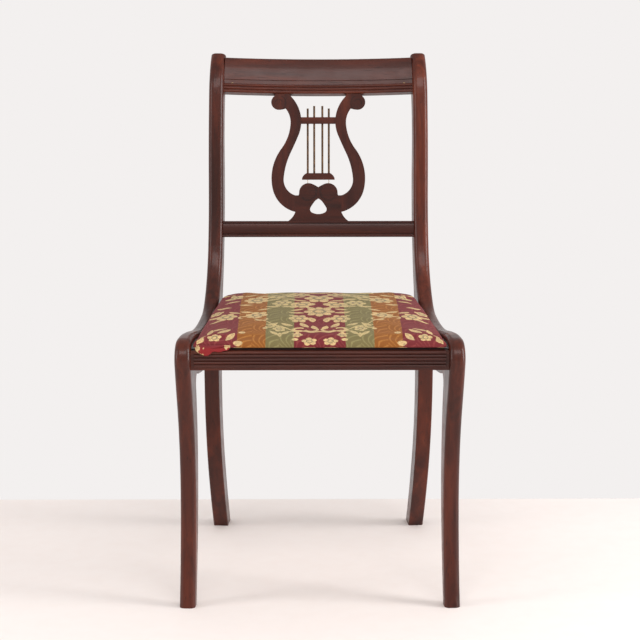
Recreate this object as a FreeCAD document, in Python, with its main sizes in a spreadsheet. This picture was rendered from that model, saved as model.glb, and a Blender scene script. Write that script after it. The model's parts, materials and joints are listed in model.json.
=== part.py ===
import FreeCAD, Part
import math
import os
import Sketcher

doc = FreeCAD.newDocument("lyre_back_chair")

# Driving sizes: millimetres, and degrees for the names that end in angle or lean
SIZES = (
    ("overall_height", 862, "floor to the curled tops of the uprights"),
    ("knee_width", 469, "outside width across the two front knees"),
    ("side_angle", 4.9, "how far each side frame closes in towards the back"),
    ("back_reach", 548, "front of the knee to the heel of the back leg"),
    ("member_thick", 26, "thickness of the legs, side rails and uprights"),
    ("front_round", 9, "rounding of the front and top arrises"),
    ("edge_ease", 1.5, "chamfer of the other long arrises"),
    ("knee_top", 456, "floor to the top of the rolled knee"),
    ("joint_fall", 5.5, "fall of the knee's top on its way back to the leg joint"),
    ("foot_setback", 30, "front of the knee to the toe of the front foot"),
    ("leg_hollow", 56, "front of the knee to the hollow of the sabre leg"),
    ("foot_depth", 24, "front foot, front to back"),
    ("waist_depth", 36, "front leg at its hollow, front to back"),
    ("leg_joint", 96, "front of the knee to the joint with the side rail"),
    ("rail_depth", 67, "side rail at the leg joint, top to underside"),
    ("seat_dip", 429, "floor to the lowest top of the side rail"),
    ("rail_belly", 360, "floor to the lowest underside of the side rail"),
    ("post_joint", 396, "front of the knee to the top of the upright joint"),
    ("post_joint_rake", 28, "how far that joint runs forward as it goes down"),
    ("sweep_rise", 17, "rise of the rail's top up to the upright joint"),
    ("post_front", 470, "front of the knee to the front of the upright at mid back"),
    ("post_depth", 31, "upright at mid back, front to back"),
    ("curl_reach", 57, "how far the tip of the upright curls back from mid back"),
    ("back_leg_depth", 42, "back leg, front to back"),
    ("crest_height", 64, "crest rail along its own face"),
    ("crest_thick", 18, "crest rail, front to back"),
    ("crest_lean", 24, "tilt of the crest rail from upright"),
    ("crest_bow", 1270, "radius of the crest rail's bow"),
    ("crest_back", 509, "front of the knee to the middle of the crest rail's underside"),
    ("crest_drop", 71.7, "tips of the uprights to the middle of the crest rail's underside"),
    ("lower_rail_height", 28.2, "lower cross rail along its own face"),
    ("lower_rail_thick", 21, "lower cross rail, front to back"),
    ("lower_rail_back", 475, "front of the knee to the middle of the lower rail's top"),
    ("lower_rail_top", 570.1, "floor to the top of the lower cross rail"),
    ("reed_radius", 2.5, "half width of one reed"),
    ("reed_pitch", 5.6, "spacing of the reeds"),
    ("reed_margin", 5, "plain end beside the reeds of the front rail"),
    ("front_rail_face", 10.5, "front of the knee to the ground of the front rail's face"),
    ("front_rail_top", 439, "floor to the top of the front rail"),
    ("front_rail_height", 32, "front rail, top to underside"),
    ("front_rail_thick", 24, "front rail, front to back"),
    ("rail_lip", 8, "lip of the front rail in front of the seat's rebate"),
    ("seat_ledge", 427, "floor to what the loose seat rests on"),
    ("back_rail_face", 408, "front of the knee to the front of the back seat rail"),
    ("back_rail_thick", 22, "back seat rail, front to back"),
    ("back_rail_height", 58, "back seat rail, top to underside"),
    ("lyre_thick", 13, "thickness of the sawn lyre"),
    ("lyre_reach", 83, "middle of the lyre to its widest point"),
    ("arm_width", 21.75, "width of a lyre arm at its widest swing"),
    ("neck_half", 30.5, "middle of the lyre to the inner edge of an arm's neck"),
    ("neck_width", 18.5, "width of a lyre arm at its neck"),
    ("scroll_radius", 13.2, "scroll at the head of a lyre arm"),
    ("bar_foot", 171.5, "lower rail to the underside of the crossbar"),
    ("bar_height", 11.8, "lyre crossbar, top to underside"),
    ("bar_thick", 10, "lyre crossbar, front to back"),
    ("string_thick", 3.6, "brass rod that stands for a string"),
    ("inner_string", 7.2, "middle of the lyre to an inner string"),
    ("outer_string", 18.6, "middle of the lyre to an outer string"),
    ("string_seat", 5, "how deep a string sits in the bridge"),
    ("bridge_height", 11.8, "bridge, top to underside"),
    ("bridge_half", 28.8, "half the length of the bridge's foot"),
    ("bridge_gap", 5.5, "bridge above the lobes of the base"),
    ("lobe_top", 67.4, "lower rail to the top of the base's lobes"),
    ("bridge_pin_thick", 1.2, "pin between the bridge and a lobe"),
    ("dowel_thick", 8, "dowel of the seat frame"),
    ("small_dowel_thick", 6, "dowel of the lyre and of the lower cross rail"),
    ("dowel_bite", 15, "how far a dowel enters each piece"),
    ("small_dowel_bite", 11, "how far a small dowel enters each piece"),
    ("block_leg", 52, "corner block along a rail"),
    ("block_height", 20, "corner block, top to underside"),
    ("screw_thick", 4, "shank of a corner block screw"),
    ("screw_head", 8, "head of a corner block screw"),
    ("screw_length", 41, "corner block screw, overall"),
    ("seat_gap", 1.5, "gap between the seat and the side frames"),
    ("seat_clear", 0.3, "gap below the seat while it rests"),
    ("board_thick", 15, "seat board"),
    ("board_inset", 7.5, "seat board inside the padded edge"),
    ("cover_thick", 1.2, "seat cloth"),
    ("cover_turn", 20, "cloth turned in under the seat board"),
    ("pad_front", 12.5, "front of the knee to the front of the padded seat"),
    ("pad_back", 438, "front of the knee to the back of the padded seat"),
    ("pad_top", 457, "floor to the top of the seat"),
    ("pad_round", 11, "roll of the seat's top edge"),
    ("front_corner", 14, "plan radius of the seat's front corners"),
    ("back_corner", 38, "plan radius of the seat's back corners"),
)

sheet = doc.addObject("Spreadsheet::Sheet", "Sizes")
for row, (name, value, note) in enumerate(SIZES, start=1):
    sheet.set(f"A{row}", name)
    sheet.set(f"B{row}", str(value))
    sheet.set(f"C{row}", note)
    sheet.setAlias(f"B{row}", name)
doc.recompute()


class Size:
    """A size that keeps its value and the expression that drives it."""

    def __init__(self, value, text):
        self.value = value
        self.text = text

    def __add__(self, other):
        other = as_size(other)
        return Size(self.value + other.value, f"({self.text} + {other.text})")

    def __sub__(self, other):
        other = as_size(other)
        return Size(self.value - other.value, f"({self.text} - {other.text})")

    def __mul__(self, other):
        other = as_size(other)
        return Size(self.value * other.value, f"({self.text} * {other.text})")

    def __truediv__(self, other):
        other = as_size(other)
        return Size(self.value / other.value, f"({self.text} / {other.text})")

    def __rsub__(self, other):
        return as_size(other) - self

    def __neg__(self):
        return Size(-self.value, f"(-1 * {self.text})")

    __radd__ = __add__
    __rmul__ = __mul__


def as_size(value):
    return value if isinstance(value, Size) else Size(value, str(value))


def length(name):
    return Size(float(sheet.get(name)), f"Sizes.{name}")


def angle(name):
    return Size(float(sheet.get(name)), f"(Sizes.{name} * 1 deg)")


def cosine(turn):
    return Size(math.cos(math.radians(turn.value)), f"cos({turn.text})")


def sine(turn):
    return Size(math.sin(math.radians(turn.value)), f"sin({turn.text})")


def tangent(turn):
    return Size(math.tan(math.radians(turn.value)), f"tan({turn.text})")


def arctangent(ratio):
    return Size(math.degrees(math.atan(ratio.value)), f"atan({ratio.text})")


def root(square):
    return Size(math.sqrt(square.value), f"sqrt({square.text})")


def at_least(size, floor):
    return Size(max(size.value, floor), f"max({size.text}; {floor})")


def bind(thing, **sizes):
    for prop, size in sizes.items():
        thing.setExpression(prop, as_size(size).text)


ZERO = as_size(0)
thick = length("member_thick")
side_angle = angle("side_angle")
half_thick = thick / 2
# Depths count from the front of the knees, and this is where those stand
knee_front = length("back_reach") * cosine(side_angle) / -2


def inner_half(depth):
    """Half the width between the side frames at a depth behind the knees."""
    inner_knee = length("knee_width") / 2 - thick / cosine(side_angle)
    return inner_knee - tangent(side_angle) * depth


# Sketches and bodies

def new_body(name, x=ZERO, y=None, z=ZERO, turn_about=None, turn=None):
    """A body whose origin lies x to the right, y behind the middle and z up."""
    body = doc.addObject("PartDesign::Body", name)
    if turn_about:
        body.Placement = FreeCAD.Placement(
            FreeCAD.Vector(), FreeCAD.Rotation(FreeCAD.Vector(*turn_about), turn.value)
        )
        body.setExpression("Placement.Rotation.Angle", turn.text)
    body.setExpression("Placement.Base.x", as_size(x).text)
    body.setExpression("Placement.Base.y", (knee_front if y is None else as_size(y)).text)
    body.setExpression("Placement.Base.z", as_size(z).text)
    return body


def new_sketch(body, name, plane, offset=None):
    sketch = body.newObject("Sketcher::SketchObject", f"{body.Name}_{name}")
    origin_planes = {feature.Role: feature for feature in body.Origin.OriginFeatures}
    sketch.AttachmentSupport = (origin_planes[plane], "")
    sketch.MapMode = "FlatFace"
    if offset is not None:
        sketch.setExpression("AttachmentOffset.Base.z", offset.text)
    return sketch


def vector(point):
    return FreeCAD.Vector(as_size(point[0]).value, as_size(point[1]).value, 0)


# How long the construction line is that gives a chain of arcs its first heading
GUIDE_LENGTH = 10


def pin_point(sketch, geometry, position, point):
    """Hold one point of the sketch at its two sizes from the origin."""
    for kind, size in zip(("DistanceX", "DistanceY"), point):
        size = as_size(size)
        constraint = Sketcher.Constraint(kind, -1, 1, geometry, position, size.value)
        index = sketch.addConstraint(constraint)
        sketch.setExpression(f"Constraints[{index}]", size.text)


def add_arcs(sketch, start, turn, points):
    """Arcs that run on smoothly from start through the points. They set out turned, in degrees,
    from the straight line to the first point.
    Returns the two ends of the chain, each as a piece of geometry and which end of it."""
    here = vector(start)
    straight = vector(points[0]) - here
    heading = math.atan2(straight.y, straight.x) + math.radians(turn)
    ahead = FreeCAD.Vector(math.cos(heading), math.sin(heading), 0)
    guide = sketch.addGeometry(Part.LineSegment(here, here + ahead * GUIDE_LENGTH), True)
    sketch.addConstraint(Sketcher.Constraint("Distance", guide, GUIDE_LENGTH))
    sketch.addConstraint(Sketcher.Constraint("Angle", guide, heading))
    first = None
    last = (guide, 1)
    for point in points:
        there = vector(point)
        chord = there - here
        aside = FreeCAD.Vector(-ahead.y, ahead.x, 0)
        bend = chord.Length ** 2 / (2 * chord.dot(aside))
        centre = here + aside * bend
        angles = [math.atan2(end.y - centre.y, end.x - centre.x) for end in (here, there)]
        if bend < 0:
            angles.reverse()
        if angles[1] < angles[0]:
            angles[1] += 2 * math.pi
        circle = Part.Circle(centre, FreeCAD.Vector(0, 0, 1), abs(bend))
        arc = sketch.addGeometry(Part.ArcOfCircle(circle, *angles))
        near, far = (1, 2) if bend > 0 else (2, 1)
        sketch.addConstraint(Sketcher.Constraint("Tangent", *last, arc, near))
        if first is None:
            first = (arc, near)
        else:
            pin_point(sketch, arc, near, before)
        last = (arc, far)
        before = point
        ahead = chord * (2 * ahead.dot(chord) / chord.Length ** 2) - ahead
        here = there
    return first, last


def run_points(runs, number):
    """The points that one run of an outline passes, up to the start of the next run."""
    run = runs[number]
    return [run[0], *run[2:], runs[(number + 1) % len(runs)][0]]


def draw_outline(sketch, runs):
    """A closed outline. Each run ends where the next one starts. A run of one point is a
    straight line; a longer one is a start, a turn in degrees and points for smooth arcs."""
    ends = []
    for number, run in enumerate(runs):
        points = run_points(runs, number)
        if len(run) == 1:
            line = sketch.addGeometry(Part.LineSegment(vector(points[0]), vector(points[1])))
            ends.append(((line, 1), (line, 2)))
        else:
            ends.append(add_arcs(sketch, points[0], run[1], points[1:]))
    for number, (first, last) in enumerate(ends):
        following = ends[(number + 1) % len(ends)][0]
        sketch.addConstraint(Sketcher.Constraint("Coincident", *last, *following))
        pin_point(sketch, *first, runs[number][0])


def draw_circle(sketch, centre, radius):
    circle = sketch.addGeometry(Part.Circle(vector(centre), FreeCAD.Vector(0, 0, 1), radius.value))
    pin_point(sketch, circle, 3, centre)
    index = sketch.addConstraint(Sketcher.Constraint("Radius", circle, radius.value))
    sketch.setExpression(f"Constraints[{index}]", radius.text)


def add_pad(body, sketch, size, both_ways=True):
    pad = body.newObject("PartDesign::Pad", f"{sketch.Name}_pad")
    pad.Profile = sketch
    pad.SideType = "Symmetric" if both_ways else "One side"
    bind(pad, Length=size)
    doc.recompute()
    return pad


def edges_at(shape, half, points):
    """Names of the long edges of a sawn board, on both its faces, that join these points."""
    corners = [(round(as_size(x).value, 2), round(as_size(y).value, 2)) for x, y in points]
    wanted = [{start, end} for start, end in zip(corners, corners[1:])]
    names = []
    for number, edge in enumerate(shape.Edges, start=1):
        ends = [vertex.Point for vertex in edge.Vertexes]
        if all(abs(abs(end.x) - half.value) < 0.01 for end in ends):
            if {(round(end.y, 2), round(end.z, 2)) for end in ends} in wanted:
                names.append(f"Edge{number}")
    return names


def add_fillet(body, base, names, radius):
    fillet = body.newObject("PartDesign::Fillet", f"{base.Name}_round")
    fillet.Base = (base, names)
    bind(fillet, Radius=radius)
    doc.recompute()
    return fillet


def sawn_board(body, runs, rounded_run, eased_runs):
    """A board of a side frame, sawn to an outline, with one run rounded and others chamfered."""
    sketch = new_sketch(body, "outline", "YZ_Plane")
    draw_outline(sketch, runs)
    pad = add_pad(body, sketch, thick)
    rounded = add_fillet(body, pad, edges_at(pad.Shape, half_thick, run_points(runs, rounded_run)),
                         length("front_round"))
    eased = body.newObject("PartDesign::Chamfer", f"{body.Name}_eased")
    names = []
    for number in eased_runs:
        names += edges_at(rounded.Shape, half_thick, run_points(runs, number))
    eased.Base = (rounded, names)
    bind(eased, Size=length("edge_ease"))
    doc.recompute()
    return body


# Side frames: sabre front leg, side rail and upright with its back leg

knee_top = length("knee_top")
leg_joint = length("leg_joint")
leg_hollow = length("leg_hollow")
foot_setback = length("foot_setback")
foot_depth = length("foot_depth")
waist_depth = length("waist_depth")
post_joint = length("post_joint")
seat_dip = length("seat_dip")
rail_belly = length("rail_belly")
post_front = length("post_front")
post_depth = length("post_depth")
back_reach = length("back_reach")
back_leg_depth = length("back_leg_depth")
overall_height = length("overall_height")

leg_joint_top = knee_top - length("joint_fall")
leg_joint_foot = leg_joint_top - length("rail_depth")
rail_span = post_joint - leg_joint
sweep_rise = length("sweep_rise")
post_joint_top = seat_dip + sweep_rise
post_joint_foot = (post_joint - length("post_joint_rake"), rail_belly)
post_back = post_front + post_depth
back_rise = overall_height - seat_dip
# How far the upright's front stands behind its joint, and its curled tip behind that
post_sweep = post_front - post_joint
curl_reach = length("curl_reach")
# How far the back leg splays, from its back edge behind the joint to its heel
leg_back = post_joint + back_leg_depth
splay = back_reach - leg_back

LEG_RUNS = (
    # front edge, from the toe up the hollow and round the knee
    ((foot_setback, ZERO), -5, (leg_hollow * 0.982, knee_top * 0.349),
     (leg_hollow * 0.464, knee_top * 0.752), (leg_joint * 0.01, knee_top * 0.908), (leg_joint / 3, knee_top)),
    # joint with the side rail
    ((leg_joint, leg_joint_top),),
    # back edge, from the ear under the rail down to the heel
    ((leg_joint, leg_joint_foot), -59.2,
     (leg_joint * 0.8125, leg_joint_foot - length("rail_depth") * 0.26),
     (leg_hollow + waist_depth * 0.917, knee_top * 0.349)),
    # sole
    ((foot_setback + foot_depth, ZERO),),
)

RAIL_RUNS = (
    # top edge, dipping behind the knee and sweeping up to the upright
    ((leg_joint, leg_joint_top), 1.5,
     (leg_joint + rail_span * 0.21, seat_dip + (leg_joint_top - seat_dip) * 0.507),
     (leg_joint + rail_span * 0.863, seat_dip + sweep_rise * 0.06)),
    # raked joint with the upright
    ((post_joint, post_joint_top),),
    # underside
    (post_joint_foot, 5.7,
     (leg_joint + rail_span * 0.09, leg_joint_foot - (leg_joint_foot - rail_belly) * 0.32)),
    # joint with the front leg
    ((leg_joint, leg_joint_foot),),
)

UPRIGHT_RUNS = (
    # front edge, from the rail joint up the stile to the tip of its curl
    ((post_joint, post_joint_top), -19.3, (post_front - post_sweep * 0.216, seat_dip + back_rise * 0.233),
     (post_front - post_sweep * 0.0135, seat_dip + back_rise * 0.473),
     (post_front + curl_reach * 0.28, seat_dip + back_rise * 0.848)),
    # tip
    ((post_front + curl_reach, overall_height),),
    # back edge, from the tip down to the heel
    ((post_front + curl_reach + post_depth * 0.613, overall_height - post_depth * 0.516), -18.1,
     (post_back + curl_reach * 0.035, seat_dip + back_rise * 0.589),
     (leg_back + splay * 0.245, seat_dip + sweep_rise * 1.59), (leg_back + splay * 0.291, seat_dip / 3)),
    # sole
    ((back_reach, ZERO),),
    # front edge of the back leg, up to the foot of the rail joint
    ((back_reach - back_leg_depth * 0.952, ZERO), 4.1, (post_joint + splay * 0.409, seat_dip * 0.261),
     (post_joint - length("post_joint_rake") / 4, seat_dip * 0.755)),
    # raked joint with the side rail
    (post_joint_foot,),
)


def side_body(name, side):
    """A body in the plane of one side frame. side is -1 for left and +1 for right."""
    centre = (length("knee_width") / 2 - half_thick / cosine(side_angle)) * side
    return new_body(name, x=centre, turn_about=(0, 0, side), turn=side_angle)


# Joinery: dowels across and along the side frames, and screws through the corner blocks

def dowel_centres_across(face, size, top, height):
    """Two dowel places, one above the other, in the end of a cross rail."""
    middle = face + size / 2
    return ((middle, top - height * 0.3), (middle, top - height * 0.72))


def cross_dowels(name, side, centres, thickness, bite):
    """Dowels square to a side frame, half in it and half in a cross rail."""
    body = side_body(name, side)
    sketch = new_sketch(body, "circles", "YZ_Plane", offset=half_thick * -side)
    for centre in centres:
        draw_circle(sketch, centre, thickness / 2)
    add_pad(body, sketch, bite * 2)
    return body


def rail_dowels(name, side, depth, heights, thickness, bite):
    """Dowels that run along a side frame, half in each of its two pieces."""
    body = side_body(name, side)
    sketch = new_sketch(body, "circles", "XZ_Plane", offset=-depth)
    for height in heights:
        draw_circle(sketch, (ZERO, height), thickness / 2)
    add_pad(body, sketch, bite * 2)
    return body


def grouped(label, members):
    group = doc.addObject("Part::Compound", label)
    group.Links = members
    return group


dowel = length("dowel_thick")
bite = length("dowel_bite")
small_dowel = length("small_dowel_thick")
small_bite = length("small_dowel_bite")
front_rail_face = length("front_rail_face")
front_rail_thick = length("front_rail_thick")
front_rail_top = length("front_rail_top")
front_rail_height = length("front_rail_height")
back_rail_face = length("back_rail_face")
back_rail_thick = length("back_rail_thick")
back_rail_height = length("back_rail_height")
seat_ledge = length("seat_ledge")
crest_lean = angle("crest_lean")
crest_back = length("crest_back")
crest_under = overall_height - length("crest_drop")
crest_thick = length("crest_thick")
crest_height = length("crest_height")
crest_bow = length("crest_bow")
lower_rail_back = length("lower_rail_back")
lower_rail_top = length("lower_rail_top")
lower_rail_height = length("lower_rail_height")
lower_rail_thick = length("lower_rail_thick")

# The ends of the bowed crest rail stand this far in front of its middle
crest_half = inner_half(crest_back)
crest_sag = crest_bow - root(crest_bow * crest_bow - crest_half * crest_half)


def on_crest_end(up):
    """Depth and height of a dowel in the crest rail's end, this far up its face. It stands a
    little behind the middle, because the bow draws the rail back from a dowel that runs straight."""
    aft = crest_thick * 0.14 - crest_sag
    return (crest_back + aft * cosine(crest_lean) + up * sine(crest_lean),
            crest_under - aft * sine(crest_lean) + up * cosine(crest_lean))


# The lyre leans in the plane from the lower rail's top to the crest rail's underside
lyre_rise = crest_under - lower_rail_top
lyre_step = crest_back - lower_rail_back
lyre_lean = arctangent(lyre_step / lyre_rise)
lyre_tall = root(lyre_rise * lyre_rise + lyre_step * lyre_step)

front_rail_dowels = grouped("front_rail_dowels", [
    cross_dowels(f"front_rail_dowels_{hand}", side,
                 dowel_centres_across(front_rail_face, front_rail_thick, seat_ledge, seat_ledge
                                      - front_rail_top + front_rail_height), small_dowel, bite)
    for hand, side in (("left", -1), ("right", 1))])
back_rail_dowels = grouped("back_rail_dowels", [
    cross_dowels(f"back_rail_dowels_{hand}", side,
                 dowel_centres_across(back_rail_face, back_rail_thick, seat_ledge, back_rail_height),
                 dowel, bite)
    for hand, side in (("left", -1), ("right", 1))])
crest_rail_dowels = grouped("crest_rail_dowels", [
    cross_dowels(f"crest_rail_dowels_{hand}", side,
                 (on_crest_end(crest_height * 0.28), on_crest_end(crest_height * 0.7)), dowel, bite)
    for hand, side in (("left", -1), ("right", 1))])
lower_rail_dowels = grouped("lower_rail_dowels", [
    cross_dowels(f"lower_rail_dowels_{hand}", side,
                 ((lower_rail_back - lower_rail_height / 2 * sine(lyre_lean),
                   lower_rail_top - lower_rail_height / 2),), small_dowel, bite)
    for hand, side in (("left", -1), ("right", 1))])

side_dowels = {}
for hand, side in (("left", -1), ("right", 1)):
    leg_heights = [leg_joint_top - length("rail_depth") * share for share in (0.28, 0.75)]
    post_middle = post_joint - length("post_joint_rake") / 2
    post_heights = [rail_belly + (post_joint_top - rail_belly) * share for share in (0.74, 0.235)]
    side_dowels[hand] = grouped(f"{hand}_side_rail_dowels", [
        rail_dowels(f"{hand}_leg_dowels", side, leg_joint, leg_heights, dowel, bite),
        rail_dowels(f"{hand}_post_dowels", side, post_middle, post_heights, dowel, bite + 3)])


def lyre_body(name):
    """A body in the leaning plane of the lyre, with its origin on the lower rail."""
    return new_body(name, y=knee_front + lower_rail_back, z=lower_rail_top,
                    turn_about=(-1, 0, 0), turn=lyre_lean)


def upright_dowels(name, places):
    """Dowels along the lyre. Each place is its distance from the middle and its height."""
    bodies = []
    for number, (across, height) in enumerate(places):
        body = lyre_body(f"{name}_{number}")
        sketch = new_sketch(body, "circle", "XY_Plane", offset=height)
        draw_circle(sketch, (across, ZERO), small_dowel / 2)
        add_pad(body, sketch, small_bite * 2)
        bodies.append(body)
    return bodies


lobe_top = length("lobe_top")
bridge_half = length("bridge_half")
bridge_foot = lobe_top + length("bridge_gap")
bridge_top = bridge_foot + length("bridge_height")
string_foot = bridge_top - length("string_seat")


def rod(name, across, foot, head, thickness):
    """A round rod that stands in the plane of the lyre."""
    body = lyre_body(name)
    sketch = new_sketch(body, "circle", "XY_Plane", offset=foot)
    draw_circle(sketch, (across, ZERO), thickness / 2)
    add_pad(body, sketch, head - foot, both_ways=False)
    return body


outer_string = length("outer_string")
inner_string = length("inner_string")
outer_head = lyre_tall * 0.8915
inner_head = lyre_tall * 0.9115
strings = [rod(f"lyre_string_{number}", across, string_foot, head, length("string_thick"))
           for number, (across, head) in enumerate((
               (-outer_string, outer_head), (-inner_string, inner_head),
               (inner_string, inner_head), (outer_string, outer_head)), start=1)]
bridge_pins = grouped("lyre_bridge_pins", [
    rod(f"bridge_pin_{hand}", outer_string * side, lobe_top - 6, bridge_foot + 3,
        length("bridge_pin_thick"))
    for hand, side in (("left", -1), ("right", 1))])

arm_dowel = length("lyre_reach") * 0.733
foot_dowel = length("lyre_reach") * 0.346
lyre_dowels = grouped("lyre_dowels", upright_dowels("lyre_dowel", (
    (-arm_dowel, lyre_tall), (arm_dowel, lyre_tall), (-foot_dowel, ZERO), (foot_dowel, ZERO))))

block_leg = length("block_leg")
block_height = length("block_height")
screw_thick = length("screw_thick")
screw_head = length("screw_head")
screw_length = length("screw_length")
block_corners = {
    "front_left": (-1, 1, front_rail_face + front_rail_thick),
    "front_right": (1, 1, front_rail_face + front_rail_thick),
    "back_left": (-1, -1, back_rail_face),
    "back_right": (1, -1, back_rail_face),
}


def corner_screw(name, side, inward, depth):
    """A countersunk screw from the middle of a block's long face into its corner."""
    middle_x = (inner_half(depth) - block_leg / 2 + 1) * side
    middle_y = knee_front + depth + (block_leg / 2 - 1) * inward
    turn = as_size(side * 45 if inward < 0 else side * 135)
    body = new_body(name, x=middle_x, y=middle_y, z=seat_ledge - block_height / 2,
                    turn_about=(0, 0, -side), turn=turn * side)
    sketch = new_sketch(body, "profile", "XY_Plane")
    draw_outline(sketch, (
        ((ZERO, ZERO),), ((screw_head / 2, ZERO),), ((screw_thick / 2, screw_head / 3),),
        ((screw_thick / 2, screw_length - screw_thick),), ((ZERO, screw_length),)))
    screw = body.newObject("PartDesign::Revolution", f"{name}_turned")
    screw.Profile = sketch
    screw.ReferenceAxis = (sketch, ["V_Axis"])
    screw.Angle = 360
    doc.recompute()
    return body


block_screws = grouped("corner_block_screws", [
    corner_screw(f"screw_{corner}", *place) for corner, place in block_corners.items()])

joinery = grouped("joinery", [
    front_rail_dowels, back_rail_dowels, crest_rail_dowels, lower_rail_dowels,
    side_dowels["left"], side_dowels["right"], lyre_dowels, block_screws, bridge_pins, *strings])
doc.recompute()

nodes = {}


def drilled(label, blank):
    """The finished piece: its blank with the holes of the joinery in it."""
    piece = doc.addObject("Part::Cut", label)
    piece.Base = blank
    piece.Tool = joinery
    piece.Label = label
    nodes[label] = piece
    return piece


for hand, side in (("left", -1), ("right", 1)):
    drilled(f"{hand}_front_leg", sawn_board(side_body(f"{hand}_leg_blank", side), LEG_RUNS, 0, (2,)))
    drilled(f"{hand}_side_rail", sawn_board(side_body(f"{hand}_rail_blank", side), RAIL_RUNS, 0, (2,)))
    drilled(f"{hand}_upright", sawn_board(
        side_body(f"{hand}_upright_blank", side), UPRIGHT_RUNS, 0, (2, 4)))

# Cross rails, each trimmed to the inner faces of the side frames

trim_front = as_size(-60)
trim_back = back_reach + 60


def between_sides(name, gap, front, back, bottom, top):
    """A block that fills the space between the side frames, less a gap at each side."""
    body = new_body(name)
    sketch = new_sketch(body, "plan", "XY_Plane", offset=bottom)
    front_half = inner_half(front) - gap
    back_half = inner_half(back) - gap
    draw_outline(sketch, (
        ((-front_half, front),), ((front_half, front),), ((back_half, back),), ((-back_half, back),)))
    add_pad(body, sketch, top - bottom, both_ways=False)
    return body


trimming_block = between_sides("trimming_block", ZERO, trim_front, trim_back,
                               as_size(-10), overall_height + 50)


def trimmed(name, blank):
    part = doc.addObject("Part::Common", name)
    part.Base = blank
    part.Tool = trimming_block
    return part


reed = length("reed_radius")
pitch = length("reed_pitch")


def reeds_up(ground, middles):
    """Half-round reeds of a moulding that is drawn upwards, standing forward of its ground."""
    runs = []
    for middle in middles:
        runs += [((ground, middle - reed), 90), ((ground, middle + reed),)]
    return runs


cross_length = length("knee_width")

# Front rail: reeded block with a rebate for the seat
front_body = new_body("front_rail_blank", z=front_rail_top - front_rail_height)
front_back = front_rail_face + front_rail_thick
front_lip = front_rail_face + length("rail_lip")
rebate_height = seat_ledge - front_rail_top + front_rail_height
sketch = new_sketch(front_body, "section", "YZ_Plane")
draw_outline(sketch, (
    ((front_rail_face, ZERO),), ((front_back, ZERO),), ((front_back, rebate_height),),
    ((front_lip, rebate_height),), ((front_lip, front_rail_height),),
    ((front_rail_face, front_rail_height),)))
add_pad(front_body, sketch, cross_length)
sketch = new_sketch(front_body, "reeds", "YZ_Plane")
for number in range(5):
    middle = front_rail_height - reed - 0.3 - pitch * number
    draw_outline(sketch, reeds_up(front_rail_face, [middle]))
add_pad(front_body, sketch, (inner_half(front_rail_face) - length("reed_margin")) * 2)
drilled("front_rail", trimmed("front_rail_trimmed", front_body))

# Back seat rail: a plain rail under the back edge of the seat
back_body = new_body("back_rail_blank", z=seat_ledge - back_rail_height)
back_back = back_rail_face + back_rail_thick
sketch = new_sketch(back_body, "section", "YZ_Plane")
draw_outline(sketch, (((back_rail_face, ZERO),), ((back_back, ZERO),),
                      ((back_back, back_rail_height),), ((back_rail_face, back_rail_height),)))
add_pad(back_body, sketch, cross_length)
drilled("back_rail", trimmed("back_rail_trimmed", back_body))

# Lower cross rail: quirk, swelled face and bead, in the plane of the lyre
lower_body = lyre_body("lower_rail_blank")
half_lower = lower_rail_thick / 2
ground = reed - half_lower
bottom = -lower_rail_height
bead_middle = bottom + reed + 0.2
swell_foot = bead_middle + reed + 1.4
swell_head = -length("lower_rail_height") * 0.17
sketch = new_sketch(lower_body, "section", "YZ_Plane")
draw_outline(sketch, (
    ((half_lower, bottom),),
    ((ground, bottom),),
    *reeds_up(ground, [bead_middle]),
    # quirk, swelled face and quirk
    ((ground, swell_foot),),
    ((0.6 - half_lower, swell_foot), 14),
    ((0.6 - half_lower, swell_head),),
    ((ground, swell_head + 0.4),),
    ((ground, swell_head + 1.6),),
    ((0.4 - half_lower, swell_head + 2),),
    ((0.4 - half_lower, ZERO),),
    ((half_lower, ZERO),)))
add_pad(lower_body, sketch, cross_length)
drilled("lower_rail", trimmed("lower_rail_trimmed", lower_body))

# Crest rail: bowed about an axis that leans with its face, swelled panel above three reeds
crest_body = new_body("crest_rail_blank", y=knee_front + crest_back - crest_bow * cosine(crest_lean),
                      z=crest_under + crest_bow * sine(crest_lean), turn_about=(-1, 0, 0), turn=crest_lean)
crest_front = crest_bow - crest_thick / 2
crest_rear = crest_bow + crest_thick / 2
ground = crest_front + reed
panel_foot = crest_height * 0.37
sketch = new_sketch(crest_body, "section", "YZ_Plane")
draw_outline(sketch, (
    ((crest_rear, ZERO),),
    ((ground, ZERO),),
    *reeds_up(ground, [reed + 0.1 + pitch * number for number in range(3)]),
    # quirk below the swelled panel
    ((ground, panel_foot),),
    ((crest_front + 0.8, panel_foot), 7, (crest_front + 0.8, crest_height - 4)),
    ((crest_front + 5, crest_height),),
    # softened top edge at the back
    ((crest_rear - 4, crest_height), 45),
    ((crest_rear, crest_height - 4),)))
crest = crest_body.newObject("PartDesign::Revolution", "crest_rail_bow")
crest.Profile = sketch
crest.ReferenceAxis = (sketch, ["V_Axis"])
crest.Midplane = True
bind(crest, Angle=arctangent(crest_half / crest_bow) * 2.4)
doc.recompute()
crest_blank = trimmed("crest_rail_trimmed", crest_body)
crest_rail = drilled("crest_rail", crest_blank)
doc.recompute()

# Lyre: two scrolled arms on a lobed base, crossbar and bridge

lyre_thick = length("lyre_thick")
bar_thick = length("bar_thick")
reach = length("lyre_reach")
scroll = length("scroll_radius")
neck_half = length("neck_half")
neck_width = length("neck_width")
# Where the arms meet the base: the ends of the joint, as distances from the middle and heights
notch = (reach * 0.4915, lobe_top * 0.24)
shoulder = (reach * 0.4915, lobe_top * 0.674)


def mirrored(runs, side):
    """The runs as drawn, or turned over to the other side of the middle."""
    turned = []
    for run in runs:
        points = [(as_size(x) * side, as_size(z)) for x, z in (run[0], *run[2:])]
        turned.append((points[0], *[turn * side for turn in run[1:2]], *points[1:]))
    return turned


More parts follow.
